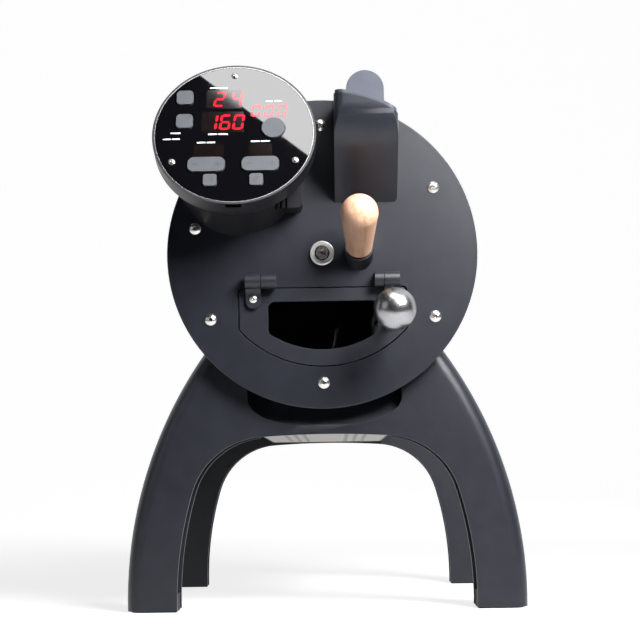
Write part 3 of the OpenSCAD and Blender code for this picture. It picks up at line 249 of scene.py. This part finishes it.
def make_print(name, light, dark):
    made, tree_nodes, links, shader = material(name, roughness=0.35)
    ink = noise(tree_nodes, links, object_pattern(tree_nodes, links), 2500, 2, 0.5)
    links.new(ramp(tree_nodes, links, ink, [(0.3, dark), (0.7, light)]), shader.inputs["Base Color"])
    return made


TRIER_TILT = math.radians(28)
BEECH_RINGS = 260
BEECH_RAYS = 1400
RING_STRETCH = 14
RAY_STRETCH = 9


def make_beech():
    """Oiled beech: long soft growth lines along the handle, and short dark flecks."""
    made, tree_nodes, links, shader = material("beech", coat_weight=0.12, coat_roughness=0.35)
    along = object_pattern(tree_nodes, links, (1, RING_STRETCH, 1), (-TRIER_TILT, 0, 0), "TEXTURE")
    rings = noise(tree_nodes, links, along, BEECH_RINGS, 4, 0.55)
    short = object_pattern(tree_nodes, links, (1, RAY_STRETCH, 1), (-TRIER_TILT, 0, 0), "TEXTURE")
    flecks = noise(tree_nodes, links, short, BEECH_RAYS, 2, 0.6)
    base = ramp(tree_nodes, links, rings, [(0.32, shade((214, 160, 126))), (0.5, shade((230, 183, 151))),
                                           (0.7, shade((235, 192, 162)))])
    spots = ramp(tree_nodes, links, flecks, [(0.28, shade((206, 152, 118))), (0.42, shade((255, 255, 255)))])
    mixed = tree_nodes.new("ShaderNodeMix")
    mixed.data_type = "RGBA"
    mixed.blend_type = "MULTIPLY"
    mixed.inputs["Factor"].default_value = 0.4
    links.new(base, mixed.inputs["A"])
    links.new(spots, mixed.inputs["B"])
    links.new(mixed.outputs["Result"], shader.inputs["Base Color"])
    links.new(ramp(tree_nodes, links, rings, [(0.3, grey(0.5)), (0.7, grey(0.38))]), shader.inputs["Roughness"])
    bump(tree_nodes, links, shader, flecks, 0.12, 0.0001)
    return made


panel_glass = make_panel_glass()
window_glass = make_window_glass()
segment_glow = make_segment_glow()
smoked = make_smoked_window()
white_print = make_print("white_print", shade((236, 236, 238)), shade((214, 214, 218)))
key_print = make_print("key_print", shade((52, 55, 60)), shade((46, 49, 54)))
beech = make_beech()

# ---------------------------------------------------------------- pieces from the frame


def add_piece(name, bm, material_used, body, replaced=(), smooth=40):
    """Makes a bmesh an object of the scene that rides on a body."""
    limit = math.radians(smooth)
    for face in bm.faces:
        face.smooth = True
    for edge in bm.edges:
        edge.smooth = len(edge.link_faces) == 2 and edge.calc_face_angle(math.pi) < limit
    mesh = bpy.data.meshes.new(name)
    bm.to_mesh(mesh)
    bm.free()
    mesh.materials.append(material_used)
    made = bpy.data.objects.new(name, mesh)
    bpy.context.scene.collection.objects.link(made)
    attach(made, body)
    if replaced:
        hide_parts(*replaced)
    return made


WELD = 0.00001
FLAT = math.radians(0.4)


def node_copy(node):
    """A welded copy of a node's mesh, with its flat faces joined up."""
    bm = bmesh.new()
    bm.from_mesh(nodes[node].data)
    bmesh.ops.remove_doubles(bm, verts=bm.verts, dist=WELD)
    bmesh.ops.dissolve_limit(bm, angle_limit=FLAT, verts=bm.verts, edges=bm.edges, use_dissolve_boundaries=False)
    return bm


SHARP = 32


def dress(node, material_used):
    """Stands a smooth-shaded copy of a node in its place."""
    return add_piece(node + "_finish", node_copy(node), material_used, body_of_node[node],
                     [node], SHARP)


FINISHES = {
    plate_coat: ["front_plate"],
    coat: ["body_shell", "front_arch", "rear_arch", "rear_cover", "bean_chute", "door_panel", "hinge_straps",
           "hinge_lugs", "chaff_cap"],
    screw_steel: ["case_screws", "shaft_screw", "pod_screws", "strap_screws"],
    hub_steel: ["front_bush"],
    polished: ["trier_sleeve", "trier_rod", "exhaust_collar", "rear_bearing"],
    ball_steel: ["door_ball"],
    brushed: ["drive_motor", "motor_pulley", "fan_motor", "chaff_can", "glass_retainer"],
    vented: ["bottom_cover", "chaff_screen"],
    drum_steel: ["drum", "drum_vanes", "drum_shaft", "bulkhead"],
    tab_rubber: ["chute_plug"],
    key_rubber: ["key_upper", "key_lower", "key_round", "rocker_left", "rocker_right", "key_one", "key_two"],
    foot_rubber: ["feet", "drive_belt"],
    beech: ["trier_handle"],
    panel_glass: ["pod_glass"],
    window_glass: ["door_glass"],
    ceramic: ["insulation_tube"],
    copper: ["induction_coil"],
    board_lacquer: ["power_board", "display_board"],
    pod_plastic: ["pod_neck", "pod_housing", "trier_collar"],
    black_plastic: ["box_sides", "drum_pulley", "fan_housing", "fan_impeller", "cooling_fan_frame",
                    "cooling_fan_rotor", "power_inlet", "power_switch"],
}
for finish, members in FINISHES.items():
    for node in members:
        dress(node, finish)

# ---------------------------------------------------------------- the display panel

POD_TILT = math.radians(20.8)
POD_FACE = PLATE + Vector((-66.7, -47, 88)) * MM
GLASS_FACE = 0.2
PANEL = Matrix.Translation(POD_FACE) @ Matrix.Rotation(-POD_TILT, 4, "X") @ Matrix.Scale(MM, 4)
PRINT_T = 0.06
PRINT_LIFT = 0.05
WINDOW_LIFT = 0.02


def on_panel(bm, lift):
    """Puts flat shapes, drawn in mm across and up, on the panel as thin inlays that stand lift mm in front."""
    made = bmesh.ops.extrude_face_region(bm, geom=bm.faces[:])
    moved = [v for v in made["geom"] if isinstance(v, bmesh.types.BMVert)]
    bmesh.ops.translate(bm, verts=moved, vec=(0, 0, PRINT_T))
    bmesh.ops.recalc_face_normals(bm, faces=bm.faces)
    turn = Matrix.Rotation(math.radians(90), 4, "X")
    shift = Matrix.Translation((0, GLASS_FACE - lift, 0))
    bmesh.ops.transform(bm, matrix=PANEL @ shift @ turn, verts=bm.verts)
    return bm


def add_bar(bm, across, up, width, height, cut=0.0, lean=0.0, turn=0.0):
    """A flat bar about a point, its corners cut off, leaning like a display's digits."""
    made = bmesh.ops.create_grid(bm, x_segments=1, y_segments=1, size=0.5)["verts"]
    bmesh.ops.scale(bm, vec=(width, height, 1), verts=made)
    if cut:
        cut_off = bmesh.ops.bevel(bm, geom=made, offset=cut, offset_type="OFFSET", affect="VERTICES", segments=1,
                                  profile=0.5, material=-1)
        made = cut_off["verts"]
    faces = {f for v in made for f in v.link_faces}
    made = list({v for f in faces for v in f.verts})
    place = Matrix.Translation((across, up, 0)) @ Matrix.Rotation(turn, 4, "Z")
    bmesh.ops.transform(bm, matrix=place, verts=made)
    for v in made:
        v.co.x += lean * v.co.y


SEGMENTS = {"0": "abcdef", "1": "bc", "2": "abged", "3": "abgcd", "4": "fgbc", "5": "afgcd", "6": "afgedc",
            "7": "abc", "8": "abcdefg", "9": "abcdfg"}
DIGIT_LEAN = 0.14
BAR_CUT = 0.45
END_GAP, SIDE_GAP = 1.15, 0.65


def add_digits(bm, text, left, bottom, width, height, pitch, line):
    """Seven-segment digits whose lower left corner is given; line is the width of a segment."""
    for place, digit in enumerate(text):
        x0 = left + place * pitch - DIGIT_LEAN * bottom
        half = height / 2
        level = {"a": height - line / 2, "g": half, "d": line / 2}
        upright = {"f": (line / 2, half * 1.5), "b": (width - line / 2, half * 1.5), "e": (line / 2, half * 0.5),
                   "c": (width - line / 2, half * 0.5)}
        for segment in SEGMENTS[digit]:
            if segment in level:
                add_bar(bm, x0 + width / 2, bottom + level[segment], width - line * END_GAP, line, line * BAR_CUT,
                        DIGIT_LEAN)
            else:
                x, y = upright[segment]
                add_bar(bm, x0 + x, bottom + y, half - line * SIDE_GAP, line, line * BAR_CUT, DIGIT_LEAN,
                        math.radians(90))


lit = bmesh.new()
add_digits(lit, "24", left=-16.8, bottom=24.9, width=8.6, height=14.2, pitch=13.6, line=1.9)
add_digits(lit, "160", left=-22.6, bottom=3.4, width=8.6, height=14.2, pitch=10.4, line=1.9)
add_digits(lit, "000", left=12.6, bottom=15.2, width=7.2, height=11.0, pitch=10.2, line=1.5)
add_piece("lit_segments", on_panel(lit, PRINT_LIFT), segment_glow, "roaster")

# The captions' places, held by plain bars: across, up, width, height
LABELS = [(-12.5, 42.7, 15, 1.2), (30.8, 29.4, 13.6, 1.2), (-12.5, -0.6, 16.3, 1.3), (-45.6, 0.9, 7.8, 1.2),
          (-48.6, -4.5, 14, 1.2), (-21.5, -8.1, 15, 1.2), (20.5, -7.6, 15.5, 1.2)]
labels = bmesh.new()
WIDE_LABEL = 10
WORD_GAP = 0.8
LABEL_CUT = 0.3
for across, up, width, height in LABELS:
    words = 2 if width > WIDE_LABEL else 1
    word_w = width / words - (WORD_GAP if words > 1 else 0)
    for word in range(words):
        add_bar(labels, across - width / 2 + (word + 0.5) * width / words, up, word_w, height, LABEL_CUT)
add_piece("label_bars", on_panel(labels, PRINT_LIFT), white_print, "roaster")

WINDOWS = [(-19.5, -15, 22.6, 11), (20.5, -15, 18, 10.2), (-9, 10.6, 33, 19), (-8, 32, 28, 17.5)]
WINDOW_CUT = 1
windows = bmesh.new()
for across, up, width, height in WINDOWS:
    add_bar(windows, across, up, width, height, WINDOW_CUT)
add_piece("smoked_windows", on_panel(windows, WINDOW_LIFT), smoked, "roaster")

# A thin bright edge on the rim round the glass: radius and depth of its profile's corners, in mm
RIM_STEPS = 128
RIM_LINE = ((61.7, -0.03), (62.0, -0.03), (62.0, 0.12), (61.7, 0.12))
rim = bmesh.new()
profile = [rim.verts.new((x, 0, -y)) for x, y in RIM_LINE]
rim_edges = [rim.edges.new((profile[i], profile[(i + 1) % 4])) for i in range(4)]
bmesh.ops.spin(rim, geom=profile + rim_edges, cent=(0, 0, 0), axis=(0, 0, 1), angle=math.radians(360),
               steps=RIM_STEPS, use_merge=True)
bmesh.ops.recalc_face_normals(rim, faces=rim.faces)
bmesh.ops.transform(rim, matrix=PANEL @ Matrix.Rotation(math.radians(90), 4, "X"), verts=rim.verts)
add_piece("pod_rim_line", rim, ball_steel, "roaster")

# Faint marks on the keys: minus and plus on the rockers, plain numbers on the small ones
KEY_LIFT = 1.38
ROCKER_UP = -28.4
MARK_AT = 9
MARK_LONG, MARK_LINE, MARK_CUT = 4.4, 0.8, 0.2
ARM_AT, ARM_LONG = 1.35, 1.7
for body, middle in (("left_rocker", -21), ("right_rocker", 20.7)):
    marks = bmesh.new()
    for side in (-1, 1):
        add_bar(marks, middle + side * MARK_AT, ROCKER_UP, MARK_LONG, MARK_LINE, MARK_CUT)
    for side in (-1, 1):
        add_bar(marks, middle + MARK_AT, ROCKER_UP + side * ARM_AT, MARK_LINE, ARM_LONG, MARK_CUT)
    add_piece(body + "_marks", on_panel(marks, KEY_LIFT), key_print, body)
for body, text, left in (("first_key", "1", -20), ("second_key", "2", 15.3)):
    marks = bmesh.new()
    add_digits(marks, text, left, bottom=-45, width=3.2, height=5, pitch=4, line=0.6)
    add_piece(body + "_mark", on_panel(marks, KEY_LIFT), key_print, body)

# ---------------------------------------------------------------- studio

FLOOR_SIZE = 14
WALL_Y = 2.2
SWEEP_R = 1.5
SWEEP_STEPS = 24
WALL_H = 5
STAGE_WELD = 0.0001
GLOW_FROM = 0.2
STAGE_GREY = (0.34, 0.34, 0.345, 1)
STAGE_GLOW = (0.80, 0.95)


def seen_directly(tree_nodes, links):
    """1 for the rays of the camera, of gloss and through glass, else 0."""
    path = tree_nodes.new("ShaderNodeLightPath")
    total = path.outputs["Is Camera Ray"]
    for kind in ("Is Glossy Ray", "Is Transmission Ray"):
        either = tree_nodes.new("ShaderNodeMath")
        either.operation = "MAXIMUM"
        links.new(total, either.inputs[0])
        links.new(path.outputs[kind], either.inputs[1])
        total = either.outputs[0]
    return total


def stage_material(name, colour, glow):
    """Floor and backdrop: diffuse, with a glow for camera, metal and glass that grows towards the wall."""
    made = bpy.data.materials.new(name)
    made.use_nodes = True
    tree_nodes, links = made.node_tree.nodes, made.node_tree.links
    tree_nodes.clear()
    out = tree_nodes.new("ShaderNodeOutputMaterial")
    diffuse = tree_nodes.new("ShaderNodeBsdfDiffuse")
    diffuse.inputs["Color"].default_value = colour
    emit = tree_nodes.new("ShaderNodeEmission")
    strength = tree_nodes.new("ShaderNodeMath")
    strength.operation = "MULTIPLY"
    links.new(seen_directly(tree_nodes, links), strength.inputs[0])
    where = tree_nodes.new("ShaderNodeTexCoord")
    split = tree_nodes.new("ShaderNodeSeparateXYZ")
    links.new(where.outputs["Object"], split.inputs[0])
    rise = tree_nodes.new("ShaderNodeMapRange")
    rise.interpolation_type = "SMOOTHSTEP"
    for socket, value in zip(("From Min", "From Max", "To Min", "To Max"), (GLOW_FROM, WALL_Y) + glow):
        rise.inputs[socket].default_value = value
    links.new(split.outputs["Y"], rise.inputs["Value"])
    links.new(rise.outputs["Result"], strength.inputs[1])
    links.new(strength.outputs[0], emit.inputs["Strength"])
    both = tree_nodes.new("ShaderNodeAddShader")
    links.new(diffuse.outputs[0], both.inputs[0])
    links.new(emit.outputs[0], both.inputs[1])
    links.new(both.outputs[0], out.inputs["Surface"])
    return made


backdrop = bmesh.new()
bmesh.ops.create_grid(backdrop, x_segments=1, y_segments=1, size=FLOOR_SIZE / 2)
rear = [e for e in backdrop.edges if all(v.co.y > 0 for v in e.verts)]
rear_verts = [v for v in backdrop.verts if v.co.y > 0]
bmesh.ops.translate(backdrop, verts=rear_verts, vec=(0, WALL_Y - FLOOR_SIZE / 2, 0))
curve = bmesh.ops.spin(backdrop, geom=rear, cent=(0, WALL_Y, SWEEP_R), axis=(1, 0, 0), angle=math.radians(90),
                       steps=SWEEP_STEPS)
tip = [g for g in curve["geom_last"] if isinstance(g, bmesh.types.BMEdge)]
upper = bmesh.ops.extrude_edge_only(backdrop, edges=tip)
wall_top = [g for g in upper["geom"] if isinstance(g, bmesh.types.BMVert)]
bmesh.ops.translate(backdrop, verts=wall_top, vec=(0, 0, WALL_H))
bmesh.ops.remove_doubles(backdrop, verts=backdrop.verts, dist=STAGE_WELD)
bmesh.ops.recalc_face_normals(backdrop, faces=backdrop.faces)
floor_mesh = bpy.data.meshes.new("backdrop")
for face in backdrop.faces:
    face.smooth = True
backdrop.to_mesh(floor_mesh)
backdrop.free()
floor_mesh.materials.append(stage_material("backdrop_white", STAGE_GREY, STAGE_GLOW))
floor = bpy.data.objects.new("backdrop", floor_mesh)
bpy.context.scene.collection.objects.link(floor)


def softbox(name, at, towards, size, power):
    """A square or oblong area lamp that faces a point."""
    data = bpy.data.lights.new(name, "AREA")
    data.shape = "RECTANGLE"
    data.size, data.size_y = size
    data.energy = power
    lamp = bpy.data.objects.new(name, data)
    bpy.context.scene.collection.objects.link(lamp)
    lamp.location = at
    lamp.rotation_mode = "QUATERNION"
    lamp.rotation_quaternion = (Vector(towards) - Vector(at)).to_track_quat("-Z", "Y")
    return lamp


# The key stands to the right in front, the low fill to the left, and a card over the object shows in glossy
# surfaces only. Its front edge, turned CARD_EDGE degrees, is the line of light across the panel's glass
PLATE_CENTRE = (0, -0.184, 0.287)
BODY_CENTRE = (0, 0, 0.25)
CARD_EDGE = -43.35
CARD_INWARD = (0.6865, 0.7271)
CARD_WIDE, CARD_DEEP = 0.75, 0.45
CARD_EDGE_MIDDLE = (-0.110, -0.903)
CARD_Z = 1.375
CARD_X, CARD_Y = (m + n * CARD_DEEP / 2 for m, n in zip(CARD_EDGE_MIDDLE, CARD_INWARD))
softbox("key_softbox", (0.40, -0.70, 0.72), PLATE_CENTRE, size=(0.40, 0.40), power=20)
softbox("fill_left", (-1.5, -1.1, 0.7), BODY_CENTRE, size=(1.0, 1.0), power=2)
softbox("back_light", (0.7, 1.9, 1.3), BODY_CENTRE, size=(1.4, 1.4), power=7)
card = softbox("overhead_card", (CARD_X, CARD_Y, CARD_Z), (CARD_X, CARD_Y, 0), size=(CARD_WIDE, CARD_DEEP),
               power=11)
card.rotation_mode = "XYZ"
card.rotation_euler = (0, 0, math.radians(CARD_EDGE))
card.visible_diffuse = False

WORLD_FILL, WORLD_WHITE = 0.06, 0.95
world = bpy.data.worlds.new("studio")
bpy.context.scene.world = world
world.use_nodes = True
sky_nodes, sky_links = world.node_tree.nodes, world.node_tree.links
sky = sky_nodes["Background"]
sky.inputs["Color"].default_value = (1, 1, 1, 1)
brightness = sky_nodes.new("ShaderNodeMapRange")
brightness.inputs["To Min"].default_value = WORLD_FILL
brightness.inputs["To Max"].default_value = WORLD_WHITE
sky_links.new(seen_directly(sky_nodes, sky_links), brightness.inputs["Value"])
sky_links.new(brightness.outputs["Result"], sky.inputs["Strength"])

# Black flags, unseen by the camera and without shadow, keep the room in front dark in reflections
FLAG_LOW, FLAG_HIGH = 0.003, 2.7
FLAG_FRONT, FLAG_BACK = -2.4, 0.3
FLAG_PATH = [(-0.72, FLAG_LOW), (FLAG_FRONT, FLAG_LOW), (FLAG_FRONT, FLAG_HIGH), (-0.2, FLAG_HIGH)]
FLAG_SIDE = [(FLAG_FRONT, FLAG_LOW), (FLAG_BACK, FLAG_LOW), (FLAG_BACK, FLAG_HIGH), (FLAG_FRONT, FLAG_HIGH)]
FLAG_HALF = 2.3
flags = bmesh.new()
rows = [[flags.verts.new((side * FLAG_HALF, y, z)) for side in (-1, 1)] for y, z in FLAG_PATH]
for low, high in zip(rows, rows[1:]):
    flags.faces.new((low[0], low[1], high[1], high[0]))
for side in (-1, 1):
    flags.faces.new([flags.verts.new((side * FLAG_HALF, y, z)) for y, z in FLAG_SIDE])
flag_mesh = bpy.data.meshes.new("black_flags")
flags.to_mesh(flag_mesh)
flags.free()
flag_cloth = material("flag_cloth", base_color=(0.012, 0.012, 0.013, 1), roughness=1.0)[0]
flag_mesh.materials.append(flag_cloth)
flag = bpy.data.objects.new("black_flags", flag_mesh)
bpy.context.scene.collection.objects.link(flag)
flag.visible_camera = False
flag.visible_shadow = False

bpy.context.scene.view_settings.view_transform = "Standard"
